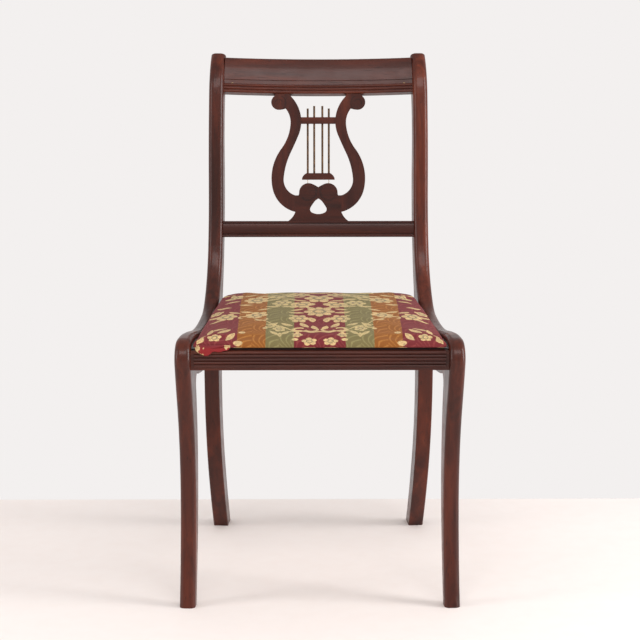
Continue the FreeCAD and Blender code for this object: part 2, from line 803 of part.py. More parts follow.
def arm_runs(side):
    """Outline of one arm: up its inner edge, over the head, round the scroll and down outside."""
    over = lyre_tall + 3
    scroll_x = reach - scroll
    scroll_z = lyre_tall - scroll
    return mirrored((
        # inner edge, round the swing, in to the neck and out to the head
        (shoulder, -39, (reach - length("arm_width"), lobe_top * 1.121),
         (neck_half + neck_width, lyre_tall * 0.541), (neck_half + neck_width * 0.243, lyre_tall * 0.68)),
        # head, let into the crest rail
        ((neck_half + neck_width * 0.95, lyre_tall - 3),),
        ((neck_half + neck_width * 1.108, over),),
        ((scroll_x + scroll * 0.4, over),),
        # scroll, a round end that turns back to the neck
        ((scroll_x + scroll * 0.6, scroll_z + scroll * 0.8), 71.4, (scroll_x, scroll_z - scroll)),
        # outer edge, in to the neck, out round the swing and in to the notch above the foot
        ((neck_half + neck_width * 1.46, lyre_tall - scroll * 1.837), -21.4,
         (neck_half + neck_width, lyre_tall * 0.769), (reach * 0.7876, lyre_tall * 0.5725),
         (reach * 0.971, lobe_top * 0.833)),
        # joint with the base
        (notch,),
    ), side)


# The base's right half, from the middle of its top round to the teardrop hole
BASE_HALF = (
    # lobe
    ((ZERO, lobe_top * 0.889), 5.9, (reach * 0.1335, lobe_top * 0.976), (reach * 0.41, lobe_top * 0.742)),
    ((reach * 0.425, shoulder[1]),),
    # joint with the arm
    (shoulder,),
    # flaring foot
    (notch, -18.7),
    ((reach * 0.643, ZERO),),
    ((ZERO, ZERO),),
    # teardrop, from its bottom up
    ((ZERO, lobe_top * 0.183), -13.8, (reach * 0.1335, lobe_top * 0.222), (reach * 0.176, lobe_top * 0.317),
     (reach * 0.164, lobe_top * 0.362), (reach * 0.0868, lobe_top * 0.503)),
    ((ZERO, lobe_top * 0.587),),
)

# The bridge's right half: a flat foot, an edge and a rounded shoulder
BRIDGE_HALF = (
    ((ZERO, bridge_foot),),
    ((bridge_half, bridge_foot),),
    ((bridge_half, bridge_foot + length("bridge_height") / 4), -22.6),
    ((bridge_half * 0.722, bridge_top),),
    ((ZERO, bridge_top),),
)


def lyre_piece(name, runs, thickness, halved=False):
    """A piece sawn in the plane of the lyre. A halved outline is mirrored in the middle."""
    body = lyre_body(name)
    sketch = new_sketch(body, "outline", "XZ_Plane")
    draw_outline(sketch, runs)
    pad = add_pad(body, sketch, thickness)
    if halved:
        mirror = body.newObject("PartDesign::Mirrored", f"{name}_mirrored")
        mirror.Originals = [pad]
        mirror.MirrorPlane = (sketch, ["V_Axis"])
        body.Tip = mirror
        doc.recompute()
    return body


arms = []
for hand, side in (("left", -1), ("right", 1)):
    blank = doc.addObject("Part::Cut", f"lyre_{hand}_arm_fitted")
    blank.Base = lyre_piece(f"lyre_{hand}_arm_blank", arm_runs(side), lyre_thick)
    blank.Tool = crest_blank
    arms.append(drilled(f"lyre_{hand}_arm", blank))
drilled("lyre_base", lyre_piece("lyre_base_blank", BASE_HALF, lyre_thick, halved=True))
drilled("lyre_bridge", lyre_piece("lyre_bridge_blank", BRIDGE_HALF, bar_thick, halved=True))

bar_foot = length("bar_foot")
bar_top = bar_foot + length("bar_height")
bar_ends = neck_half + 8
bar_blank = doc.addObject("Part::Cut", "lyre_crossbar_fitted")
bar_blank.Base = lyre_piece("lyre_crossbar_blank", (
    ((-bar_ends, bar_foot),), ((bar_ends, bar_foot),), ((bar_ends, bar_top),), ((-bar_ends, bar_top),)),
    bar_thick)
bar_blank.Tool = grouped("lyre_arms", arms)
drilled("lyre_crossbar", bar_blank)

# Corner blocks under the corners of the seat

for corner, (side, inward, depth) in block_corners.items():
    body = new_body(f"block_{corner}_blank", z=seat_ledge - block_height)
    sketch = new_sketch(body, "plan", "XY_Plane")
    draw_outline(sketch, (
        ((inner_half(depth) * side, depth),),
        (((inner_half(depth) - block_leg) * side, depth),),
        ((inner_half(depth + block_leg * inward) * side, depth + block_leg * inward),)))
    add_pad(body, sketch, block_height, both_ways=False)
    drilled(f"corner_block_{corner}", body)

# Loose seat: board, padding, cloth turned in under the board, dust cloth and tacks

cover_thick = length("cover_thick")
seat_gap = length("seat_gap")
board_inset = length("board_inset")
pad_front = length("pad_front")
pad_back = length("pad_back")
seat_low = seat_ledge + length("seat_clear")
board_low = seat_low + cover_thick
board_top = board_low + length("board_thick")
pad_top = length("pad_top")


def seat_block(name, inset, bottom, top):
    """The seat's plan, drawn in by an inset, with its corners rounded."""
    body = between_sides(name, seat_gap + inset, pad_front + inset, pad_back - inset, bottom, top)
    feature = body.Tip
    for radius, depth in ((length("front_corner"), pad_front + inset),
                          (length("back_corner"), pad_back - inset)):
        names = [f"Edge{number}" for number, edge in enumerate(feature.Shape.Edges, start=1)
                 if all(abs(vertex.Point.y - depth.value) < 0.01 for vertex in edge.Vertexes)
                 and abs(edge.Vertexes[0].Point.z - edge.Vertexes[-1].Point.z) > 1]
        feature = add_fillet(body, feature, names, at_least(radius - inset, 1))
    return body


def rolled_block(name, inset, bottom):
    """The padded part of the seat, with its top edge rolled."""
    body = seat_block(name, inset, bottom, pad_top - inset)
    base = body.Tip
    top_face = max(base.Shape.Faces, key=lambda face: face.CenterOfMass.z)
    rim = [f"Edge{number}" for number, edge in enumerate(base.Shape.Edges, start=1)
           if any(edge.isSame(around) for around in top_face.Edges)]
    add_fillet(body, base, rim, length("pad_round") - inset)
    return body


board = seat_block("seat_board", board_inset + cover_thick, board_low, board_top)
nodes["seat_board"] = board
padding = rolled_block("seat_padding", cover_thick, board_top)
nodes["seat_padding"] = padding

cloth_outside = doc.addObject("Part::MultiFuse", "cloth_outside")
cloth_outside.Shapes = [rolled_block("cloth", ZERO, board_top - cover_thick),
                        seat_block("cloth_skirt", board_inset, seat_low, board_top)]
cloth_inside = doc.addObject("Part::MultiFuse", "cloth_inside")
cloth_inside.Shapes = [padding, board, seat_block(
    "cloth_opening", board_inset + length("cover_turn"), seat_low - 5, board_low + 1)]
cover = doc.addObject("Part::Cut", "seat_cover")
cover.Base = cloth_outside
cover.Tool = cloth_inside
nodes["seat_cover"] = cover

for label, group in (("front_rail_dowels", front_rail_dowels), ("back_rail_dowels", back_rail_dowels),
                     ("crest_rail_dowels", crest_rail_dowels), ("lower_rail_dowels", lower_rail_dowels),
                     ("left_side_rail_dowels", side_dowels["left"]),
                     ("right_side_rail_dowels", side_dowels["right"]),
                     ("lyre_dowels", lyre_dowels), ("corner_block_screws", block_screws),
                     ("lyre_bridge_pins", bridge_pins),
                     *((string.Name, string) for string in strings)):
    nodes[label] = group

doc.recompute()

for thing in doc.Objects:
    if "Invalid" in thing.State or "Error" in thing.State:
        raise RuntimeError(f"{thing.Label} did not build: {thing.State}")
os.makedirs("parts", exist_ok=True)
for label, thing in nodes.items():
    shape = thing.Shape
    if shape.isNull() or not shape.isValid() or not shape.Solids:
        raise RuntimeError(f"{label} has no sound shape")
    shape.exportStep(f"parts/{label}.step")
    box = shape.BoundBox
    print(f"{label}: {len(shape.Solids)} solid(s), {shape.Volume / 1000:.1f} cm3, "
          f"x {box.XMin:.1f} {box.XMax:.1f} y {box.YMin:.1f} {box.YMax:.1f} z {box.ZMin:.1f} {box.ZMax:.1f}")
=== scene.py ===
import json
import math

import bmesh
import bpy
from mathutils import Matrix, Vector

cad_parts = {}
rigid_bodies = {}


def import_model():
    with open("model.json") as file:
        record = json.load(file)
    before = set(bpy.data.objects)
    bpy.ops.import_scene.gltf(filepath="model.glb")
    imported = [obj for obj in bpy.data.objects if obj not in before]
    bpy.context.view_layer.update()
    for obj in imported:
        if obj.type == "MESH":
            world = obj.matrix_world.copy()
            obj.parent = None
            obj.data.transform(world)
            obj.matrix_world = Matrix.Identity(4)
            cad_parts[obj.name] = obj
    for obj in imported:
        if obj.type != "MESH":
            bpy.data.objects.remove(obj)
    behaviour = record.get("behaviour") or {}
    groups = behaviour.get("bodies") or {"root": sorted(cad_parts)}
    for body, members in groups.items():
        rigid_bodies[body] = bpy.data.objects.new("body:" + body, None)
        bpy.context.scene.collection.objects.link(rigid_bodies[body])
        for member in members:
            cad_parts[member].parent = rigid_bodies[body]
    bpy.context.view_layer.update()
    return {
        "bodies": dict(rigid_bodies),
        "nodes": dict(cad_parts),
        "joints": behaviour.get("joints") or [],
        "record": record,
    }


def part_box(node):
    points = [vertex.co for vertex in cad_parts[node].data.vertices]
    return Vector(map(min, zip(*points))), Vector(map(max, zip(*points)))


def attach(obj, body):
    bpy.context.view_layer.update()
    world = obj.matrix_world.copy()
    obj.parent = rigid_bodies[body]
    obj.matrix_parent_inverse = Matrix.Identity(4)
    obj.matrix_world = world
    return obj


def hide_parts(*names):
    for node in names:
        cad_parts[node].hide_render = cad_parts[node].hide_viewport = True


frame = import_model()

nodes = frame["nodes"]


# Camera and lamps

CAMERA_PLACE = (-0.025, -4.2391, 1.3348)
CAMERA_TILT = math.radians(78)
CAMERA_PAN = math.radians(-0.36)
CAMERA_LENS = 142.99
SENSOR_WIDTH = 36

camera = bpy.data.objects.new("camera", bpy.data.cameras.new("camera"))
bpy.context.scene.collection.objects.link(camera)
camera.location = CAMERA_PLACE
camera.rotation_euler = (CAMERA_TILT, 0, CAMERA_PAN)
camera.data.sensor_width = SENSOR_WIDTH
camera.data.lens = CAMERA_LENS
camera.data.clip_end = 200
bpy.context.scene.camera = camera
bpy.context.scene.view_settings.view_transform = "Standard"


def softbox(name, place, aim, size, power):
    """A rectangular studio lamp that points at a place."""
    lamp = bpy.data.lights.new(name, "AREA")
    lamp.shape = "RECTANGLE"
    lamp.size, lamp.size_y = size
    lamp.energy = power
    holder = bpy.data.objects.new(name, lamp)
    bpy.context.scene.collection.objects.link(holder)
    holder.location = place
    holder.rotation_euler = (Vector(aim) - Vector(place)).to_track_quat("-Z", "Y").to_euler()


# Shader maths

class Value:
    """A number, colour or vector inside one material. Arithmetic on numbers adds Math nodes."""

    def __init__(self, paint, socket):
        self.paint = paint
        self.socket = socket

    def math(self, operation, *others, first=None):
        terms = [self, *others] if first is None else [first, self]
        return self.paint.node("ShaderNodeMath", {"operation": operation}, dict(enumerate(terms)))

    def __add__(self, other):
        return self.math("ADD", other)

    def __sub__(self, other):
        return self.math("SUBTRACT", other)

    def __rsub__(self, other):
        return self.math("SUBTRACT", first=other)

    def __mul__(self, other):
        return self.math("MULTIPLY", other)

    def __abs__(self):
        return self.math("ABSOLUTE")

    __radd__ = __add__
    __rmul__ = __mul__

    def least(self, other):
        return self.math("MINIMUM", other)

    def most(self, other):
        return self.math("MAXIMUM", other)

    def cosine(self):
        return self.math("COSINE")

    def power(self, other):
        return self.math("POWER", other)

    def between(self, low, high):
        """0 at low, 1 at high, smooth in between and level outside."""
        return self.paint.node(
            "ShaderNodeMapRange", {"interpolation_type": "SMOOTHSTEP"},
            {"Value": self, "From Min": low, "From Max": high})

    def parts(self):
        """The three numbers of a vector."""
        split = self.paint.node("ShaderNodeSeparateXYZ", {}, {0: self})
        outputs = split.socket.node.outputs
        return [Value(self.paint, outputs[axis]) for axis in range(3)]


class Paint:
    """One material, with its node tree."""

    def __init__(self, name):
        self.material = bpy.data.materials.new(name)
        self.material.use_nodes = True
        self.tree = self.material.node_tree
        self.surface = self.tree.nodes["Principled BSDF"]

    def node(self, kind, settings=None, sockets=None, output=0):
        """Any node: its settings first, then the values or links of its sockets."""
        node = self.tree.nodes.new(kind)
        for name, setting in (settings or {}).items():
            if name == "stops":
                self.set_stops(node.color_ramp, setting)
            else:
                setattr(node, name, setting)
        for key, value in (sockets or {}).items():
            self.join(node.inputs[key], value)
        return Value(self, node.outputs[output])

    def set_stops(self, ramp, stops):
        while len(ramp.elements) < len(stops):
            ramp.elements.new(0.5)
        for element, (position, colour) in zip(ramp.elements, stops):
            element.position = position
            element.color = (*colour, 1)

    def join(self, socket, value):
        if isinstance(value, Value):
            self.tree.links.new(value.socket, socket)
        elif socket.type == "RGBA" and len(value) == 3:
            socket.default_value = (*value, 1)
        else:
            socket.default_value = value

    def place(self):
        """Object coordinates, in metres."""
        return self.node("ShaderNodeTexCoord", output="Object")

    def stretched(self, vector, scale, turn=(0, 0, 0)):
        return self.node("ShaderNodeMapping", {}, {"Vector": vector, "Scale": scale, "Rotation": turn})

    def noise(self, vector, scale, detail=2, rough=0.5, distortion=0):
        return self.node("ShaderNodeTexNoise", {}, {
            "Vector": vector, "Scale": scale, "Detail": detail, "Roughness": rough,
            "Distortion": distortion})

    def ramp(self, value, stops):
        return self.node("ShaderNodeValToRGB", {"stops": stops}, {0: value})

    def blend(self, share, first, second):
        """One colour over another, by a share from 0 to 1."""
        return self.node("ShaderNodeMix", {"data_type": "RGBA"},
                         {0: share, 6: first, 7: second}, output=2)

    def bump(self, height, strength, distance):
        return self.node("ShaderNodeBump", {}, {"Height": height, "Strength": strength,
                                                "Distance": distance})

    def finish(self, **sockets):
        """The surface's sockets, by their names with underscores for spaces."""
        for name, value in sockets.items():
            self.join(self.surface.inputs[name.replace("_", " ")], value)
        return self.material


def tone(red, green, blue):
    """A colour as it looks on a screen, from 0 to 255, as the linear colour of a material."""
    return tuple((c / 255 / 12.92) if c <= 10.3 else ((c / 255 + 0.055) / 1.055) ** 2.4
                 for c in (red, green, blue))


# Wood

def mahogany(name, along, seed, cuts=(), dark=0.0):
    """Polished mahogany whose grain runs along one axis, with fine cut lines drawn as arcs, and with painted
    shade laid over the whole piece by a share.
    """
    paint = Paint(name)
    place = paint.place()
    long_scale = [1.0, 1.0, 1.0]
    long_scale["XYZ".index(along)] = 0.06
    offset = paint.node("ShaderNodeVectorMath", {"operation": "ADD"}, {
        0: place, 1: (seed, seed * 0.7, seed * 1.3)})
    fibre = paint.stretched(offset, long_scale, (0.02, 0.03, 0.015))
    drift = paint.noise(fibre, 14, 3, 0.55, 0.4)
    figure = paint.noise(fibre, 60, 4, 0.6, 0.8)
    pores = paint.noise(fibre, 420, 2, 0.6)
    cloud = paint.noise(offset, 5, 2, 0.5)
    pore_mask = pores.between(0.62, 0.7)
    base = paint.ramp(drift * 0.55 + figure * 0.45, (
        (0.34, tone(44, 16, 9)), (0.46, tone(66, 25, 14)),
        (0.56, tone(84, 34, 19)), (0.68, tone(108, 47, 26))))
    faded = paint.blend(cloud.between(0.4, 0.75) * 0.35, base, tone(54, 22, 15))
    colour = paint.blend(pore_mask * 0.55, faded, tone(30, 12, 9))
    # painted shade: a share of dark brown over the whole piece, standing in for the shade that piece is in
    colour = paint.blend(dark, colour, tone(34, 15, 13)) if dark else colour
    if cuts:
        across, _, up = place.parts()
        lines = None
        for middle_x, middle_z, radius, side in cuts:
            x, z = abs(across) - middle_x, up - middle_z
            line = abs((x * x + z * z).power(0.5) - radius).most((x * side[0] + z * side[1]) * -1.0)
            lines = line if lines is None else lines.least(line)
        colour = paint.blend(lines.between(0.0007, 0.0003) * 0.85, colour, tone(22, 9, 7))
    wear = paint.noise(offset, 38, 3, 0.6)
    roughness = wear.between(0.3, 0.8) * 0.14 + pore_mask * 0.12 + 0.3
    height = figure * 0.25 - pore_mask * 0.6 + wear * 0.2
    return paint.finish(
        Base_Color=colour, Roughness=roughness, Normal=paint.bump(height, 0.16, 0.0006),
        Specular_IOR_Level=0.22, Coat_Weight=0.16, Coat_Roughness=0.1)


def bare_wood(name, along, pale):
    """Unpolished wood of the hidden pieces."""
    paint = Paint(name)
    place = paint.place()
    scale = [1.0, 1.0, 1.0]
    scale["XYZ".index(along)] = 0.08
    fibre = paint.stretched(place, scale)
    rings = paint.noise(fibre, 40, 4, 0.6, 0.6)
    pores = paint.noise(fibre, 300, 2, 0.6)
    colour = paint.ramp(rings, ((0.35, tone(*[c * 0.78 for c in pale])), (0.65, tone(*pale))))
    colour = paint.blend(pores.between(0.6, 0.72) * 0.4, colour, tone(*[c * 0.5 for c in pale]))
    return paint.finish(Base_Color=colour, Roughness=rings * 0.2 + 0.55,
                        Normal=paint.bump(pores, 0.2, 0.0004))


def dull_metal(name, bright, dark, roughness):
    paint = Paint(name)
    place = paint.place()
    stain = paint.noise(place, 160, 4, 0.65)
    colour = paint.ramp(stain, ((0.35, tone(*dark)), (0.65, tone(*bright))))
    scratches = paint.noise(paint.stretched(place, (1, 1, 0.1)), 900, 2, 0.5)
    return paint.finish(Base_Color=colour, Metallic=1.0, Roughness=stain * 0.3 + roughness,
                        Normal=paint.bump(scratches, 0.12, 0.0002))


POLISHED = {
    "Z": ("left_front_leg", "right_front_leg", "left_upright", "right_upright", "lyre_left_arm",
          "lyre_right_arm"),
    "Y": ("left_side_rail", "right_side_rail"),
    "X": ("front_rail", "back_rail", "crest_rail", "lower_rail", "lyre_base", "lyre_bridge", "lyre_crossbar"),
}


def dress(node, material):
    """Give every slot of a CAD node the same material."""
    for slot in nodes[node].material_slots:
        slot.material = material


# Cut lines on the lyre, in metres: middle across and up, radius, and the side of the middle they lie on
LOBE_CUTS = ((0.0178, 0.6221, 0.0154, (-1, -1.2)), (0.0178, 0.6221, 0.0134, (-1, -1.2)))
SCROLL_CUTS = ((0.0698, 0.7771, 0.0126, (-1, -0.4)), (0.0698, 0.7771, 0.0064, (0.4, 1)))
CARVED = {
    "lyre_base": LOBE_CUTS, "lyre_left_arm": SCROLL_CUTS, "lyre_right_arm": SCROLL_CUTS,
}
# Painted shade: how much darker than the rest each piece is painted, for the shade it stands in
PAINTED_SHADE = {"lyre_left_arm": 0.3, "lyre_right_arm": 0.35, "lower_rail": 0.55, "front_rail": 0.2,
            "lyre_bridge": 0.1, "lyre_base": 0.1}
for axis, names in POLISHED.items():
    for number, name in enumerate(names):
        seed = 3.1 * number + "XYZ".index(axis)
        dress(name, mahogany(f"mahogany_{name}", axis, seed, CARVED.get(name, ()), PAINTED_SHADE.get(name, 0.0)))
oak = bare_wood("dowel_birch", "X", (196, 160, 116))
plank = bare_wood("block_beech", "Y", (150, 104, 66))
for name in nodes:
    if name.endswith("dowels"):
        dress(name, oak)
    elif name.startswith("corner_block_") and name != "corner_block_screws":
        dress(name, plank)
dress("seat_board", bare_wood("board_plywood", "X", (176, 138, 96)))
strings_brass = dull_metal("string_brass", (112, 86, 64), (60, 46, 38), 0.38)
for name in nodes:
    if name.startswith("lyre_string_"):
        dress(name, strings_brass)
dress("lyre_bridge_pins", dull_metal("pin_brass", (196, 176, 150), (150, 128, 104), 0.3))
dress("corner_block_screws", dull_metal("screw_steel", (150, 146, 140), (80, 76, 72), 0.35))


# Seat: crowned pad under a figured cloth

SEAT_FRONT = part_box("seat_cover")[0].y
SEAT_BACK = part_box("seat_cover")[1].y
SEAT_EDGE_FOOT = 0.4425
SEAT_EDGE_TOP = 0.4560
PAD_INSET = 0.0006
EDGE_ROLL = 0.0085
PAD_MESH = 0.0045
FRONT_HALF = 0.2058
BACK_HALF = 0.1680
FRONT_CORNER = 0.007
BACK_CORNER = 0.038


def only_select(obj):
    bpy.ops.object.select_all(action="DESELECT")
    obj.select_set(True)
    bpy.context.view_layer.objects.active = obj


def apply_modifier(obj, kind, **settings):
    only_select(obj)
    modifier = obj.modifiers.new(kind.lower(), kind)
    for name, value in settings.items():
        setattr(modifier, name, value)
    bpy.ops.object.modifier_apply(modifier=modifier.name)


def select_where(obj, kind, test):
    """In edit mode, select only the vertices, edges or faces that pass a test of their middle."""
    bpy.ops.mesh.select_all(action="DESELECT")
    bpy.ops.mesh.select_mode(type=kind)
    mesh = bmesh.from_edit_mesh(obj.data)
    for element in {"VERT": mesh.verts, "EDGE": mesh.edges, "FACE": mesh.faces}[kind]:
        element.select_set(test(element))
    bmesh.update_edit_mesh(obj.data)


def half_width(y):
    """Half the seat's width at a place from front to back."""
    share = (y - SEAT_FRONT) / (SEAT_BACK - SEAT_FRONT)
    return FRONT_HALF + (BACK_HALF - FRONT_HALF) * share


def is_upright_edge(edge):
    low, high = sorted(vertex.co.z for vertex in edge.verts)
    return high - low > 0.005


def seat_plan(name, inset, foot, top):
    """A flat block with the plan of the seat, drawn in all round by an inset."""
    bpy.ops.object.select_all(action="DESELECT")
    bpy.ops.mesh.primitive_cube_add(size=1)
    block = bpy.context.object
    block.name = name
    front, back = SEAT_FRONT + inset, SEAT_BACK - inset
    only_select(block)
    bpy.ops.object.mode_set(mode="EDIT")
    bpy.ops.transform.resize(value=(2 * (half_width(front) - inset), back - front, top - foot))
    bpy.ops.transform.translate(value=(0, (front + back) / 2, (foot + top) / 2))
    select_where(block, "VERT", lambda vertex: vertex.co.y > (front + back) / 2)
    taper = (half_width(back) - inset) / (half_width(front) - inset)
    bpy.ops.transform.resize(value=(taper, 1, 1))
    middle = (front + back) / 2
    for radius, behind in ((FRONT_CORNER, False), (BACK_CORNER, True)):
        select_where(block, "EDGE", lambda edge: is_upright_edge(edge)
                     and (edge.verts[0].co.y > middle) == behind)
        bpy.ops.mesh.bevel(offset=max(radius - inset, 0.002), segments=8, profile=0.5)
    bpy.ops.object.mode_set(mode="OBJECT")
    return block


def padded_seat():
    """The seat pad before it swells: a block with a rolled edge and an even mesh."""
    pad = seat_plan("seat_cushion", PAD_INSET, SEAT_EDGE_FOOT, SEAT_EDGE_TOP)
    only_select(pad)
    bpy.ops.object.mode_set(mode="EDIT")
    select_where(pad, "EDGE", lambda edge: all(
        abs(vertex.co.z - SEAT_EDGE_TOP) < 1e-5 for vertex in edge.verts))
    bpy.ops.mesh.bevel(offset=EDGE_ROLL, segments=5, profile=0.5)
    bpy.ops.object.mode_set(mode="OBJECT")
    pad.data.remesh_voxel_size = PAD_MESH
    bpy.ops.object.voxel_remesh()
    return pad


# Below this the pad is held to its board
HELD_BELOW = SEAT_EDGE_FOOT + 0.002
# How far the simulation may move the cloth, at the edge and from some way in
MOST_AT_EDGE = 0.0025
MOST_IN_MIDDLE = 0.011
EDGE_REACH = 0.13
CLOTH_FRAMES = 20
CLOTH_PRESSURE = 3.2
CLOTH_STIFFNESS = 30


def crown(pad):
    before = [vertex.co.copy() for vertex in pad.data.vertices]
    held = pad.vertex_groups.new(name="held")
    held.add([v.index for v in pad.data.vertices if v.co.z < HELD_BELOW], 1, "REPLACE")
    cloth = pad.modifiers.new("cloth", "CLOTH")
    cloth.settings.use_pressure = True
    cloth.settings.uniform_pressure_force = CLOTH_PRESSURE
    cloth.settings.vertex_group_mass = "held"
    cloth.settings.effector_weights.gravity = 0
    cloth.settings.tension_stiffness = CLOTH_STIFFNESS
    cloth.settings.compression_stiffness = CLOTH_STIFFNESS
    cloth.settings.quality = 5
    cloth.point_cache.frame_start = 1
    cloth.point_cache.frame_end = CLOTH_FRAMES
    for number in range(1, CLOTH_FRAMES + 1):
        bpy.context.scene.frame_set(number)
    only_select(pad)
    bpy.ops.object.modifier_apply(modifier="cloth")
    bpy.context.scene.frame_set(1)
    for vertex, old in zip(pad.data.vertices, before):
        move = vertex.co - old
        edge = min(half_width(old.y) - abs(old.x), old.y - SEAT_FRONT, SEAT_BACK - old.y)
        cap = MOST_AT_EDGE + (MOST_IN_MIDDLE - MOST_AT_EDGE) * min(max(edge / EDGE_REACH, 0), 1)
        vertex.co = old + move * min(cap / max(move.length, 1e-9), 1)


# How far the cloth may give past the plan of the seat, at its ends and at its sides
END_GIVE = 0.0005
SIDE_GIVE = 0.0004


def hold_in(pad):
    """Press the pad back where the side frames, the rail and the board stop it."""
    for vertex in pad.data.vertices:
        x, y, z = vertex.co
        y = min(max(y, SEAT_FRONT - END_GIVE), SEAT_BACK + END_GIVE)
        limit = half_width(y) + SIDE_GIVE
        vertex.co = (min(max(x, -limit), limit), y, max(z, SEAT_EDGE_FOOT))


# The padding is thinner towards the back: from where, over what length and by how much
WORN_FROM = -0.03
WORN_OVER = 0.185
WORN_BY = 0.0062
DENT = 0.0007


def wear_down(pad):
    """Flatten the padding towards the back, where it has been sat thin, and leave it a little uneven."""
    for vertex in pad.data.vertices:
        x, y, z = vertex.co
        lift = min(max((z - SEAT_EDGE_FOOT) / (SEAT_EDGE_TOP - SEAT_EDGE_FOOT), 0), 1)
        share = min(max((y - WORN_FROM) / WORN_OVER, 0), 1)
        dents = DENT * math.sin(x * 62 + 1.3) * math.sin(y * 47 + x * 21)
        vertex.co.z -= lift * (WORN_BY * share * share * (3 - 2 * share) - dents)


pad = padded_seat()
crown(pad)
hold_in(pad)
wear_down(pad)
apply_modifier(pad, "SUBSURF", levels=1, render_levels=1)
only_select(pad)
bpy.ops.object.shade_smooth()


# The cloth's pattern starts to run down the edge from here
UNROLL_BELOW = SEAT_EDGE_TOP + 0.004


def unroll(pad):
    """Lay the cloth's pattern on the pad: flat on top, and on down over its rolled edges."""
    layer = pad.data.uv_layers.new(name="cloth")
    normals = [vertex.normal.copy() for vertex in pad.data.vertices]
    for loop in pad.data.loops:
        vertex = pad.data.vertices[loop.vertex_index]
        normal = normals[loop.vertex_index]
        flat = Vector((normal.x, normal.y))
        drop = max(UNROLL_BELOW - vertex.co.z, 0)
        shift = flat * drop if normal.z > -0.3 else flat * 0
        layer.data[loop.index].uv = (vertex.co.x + shift.x, vertex.co.y + shift.y)


unroll(pad)


# Cloth drawn down round the board, turned in under it, and the tuck at the left front corner
BOARD_EDGE = 0.0066
SKIRT_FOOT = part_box("seat_cover")[0].z
BOARD_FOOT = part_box("seat_board")[0].z
TURNED_IN = 0.020
SKIRT_OVERLAP = 0.0012
CLOTH_THICK = 0.0006


def drawn_skirt():
    """The cloth round the edge of the board, with the opening under it."""
    skirt = seat_plan("seat_skirt", BOARD_EDGE, SKIRT_FOOT, SEAT_EDGE_FOOT + SKIRT_OVERLAP)
    bpy.ops.object.mode_set(mode="EDIT")
    select_where(skirt, "FACE", lambda face: face.normal.z < -0.9)
    bpy.ops.mesh.inset(thickness=TURNED_IN, depth=0)
    bpy.ops.transform.translate(value=(0, 0, BOARD_FOOT - SKIRT_FOOT + CLOTH_THICK))
    bpy.ops.object.mode_set(mode="OBJECT")
    apply_modifier(skirt, "BEVEL", width=CLOTH_THICK, segments=2,
                   limit_method="ANGLE", angle_limit=math.radians(40))
    return skirt


# Where the tuck's fold starts and ends, and how it hangs between, in metres
TUCK_START, TUCK_END = -0.2015, -0.1440
TUCK_HEAD = 0.4475
TUCK_START_DEPTH = 0.0012
TUCK_THICK = 0.0016
TUCK_CLEARANCE = 0.0018
RAIL_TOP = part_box("front_rail")[1].z
RAIL_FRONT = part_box("front_rail")[0].y


def corner_tuck():
    """The fold of spare cloth that hangs over the front rail at the left corner."""
    bpy.ops.object.select_all(action="DESELECT")
    bpy.ops.mesh.primitive_grid_add(x_subdivisions=36, y_subdivisions=10, size=1)
    tuck = bpy.context.object
    tuck.name = "seat_tuck"
    for vertex in tuck.data.vertices:
        along, down = vertex.co.x + 0.5, 0.5 - vertex.co.y
        hang = math.exp(-((along - 0.28) / 0.2) ** 2) * 0.0072 + 0.0036
        hang += 0.0013 * math.sin(along * 19 + 0.8) * math.sin(along * math.pi)
        swell = math.sin(down * math.pi) ** 0.8 * 0.0044 * (1 - 0.45 * along)
        swell *= 1 + 0.35 * math.sin(along * 15 + 0.5)
        crease = 0.0030 * math.exp(-((down - 0.36 - 0.16 * math.sin(along * 4)) / 0.09) ** 2)
        rounded = 1 - (2 * along - 1) ** 4
        swell *= rounded
        drop_share = down * (0.35 + 0.65 * rounded ** 0.5)
        x = TUCK_START + (TUCK_END - TUCK_START) * along
        round_corner = max(-0.1955 - x, 0) * 1.3
        lean = 0.0024 * min(down * 2, 1) * (1 - along) ** 0.5
        y = SEAT_FRONT + TUCK_START_DEPTH - swell + crease + round_corner - lean
        z = TUCK_HEAD - (TUCK_HEAD - SEAT_EDGE_FOOT + hang) * drop_share
        before_rail = min(max((RAIL_TOP + 0.004 - z) / 0.003, 0), 1)
        vertex.co = (x, y + (min(y, RAIL_FRONT - TUCK_CLEARANCE) - y) * before_rail, z)
    apply_modifier(tuck, "SOLIDIFY", thickness=TUCK_THICK, offset=0)
    apply_modifier(tuck, "SUBSURF", levels=1, render_levels=1)
    only_select(tuck)
    bpy.ops.object.shade_smooth()
    layer = tuck.data.uv_layers.active or tuck.data.uv_layers.new()
    layer.name = "cloth"
    for loop in tuck.data.loops:
        place = tuck.data.vertices[loop.vertex_index].co
        layer.data[loop.index].uv = (place.x, place.z)
    return tuck


CENTIMETRES = 100


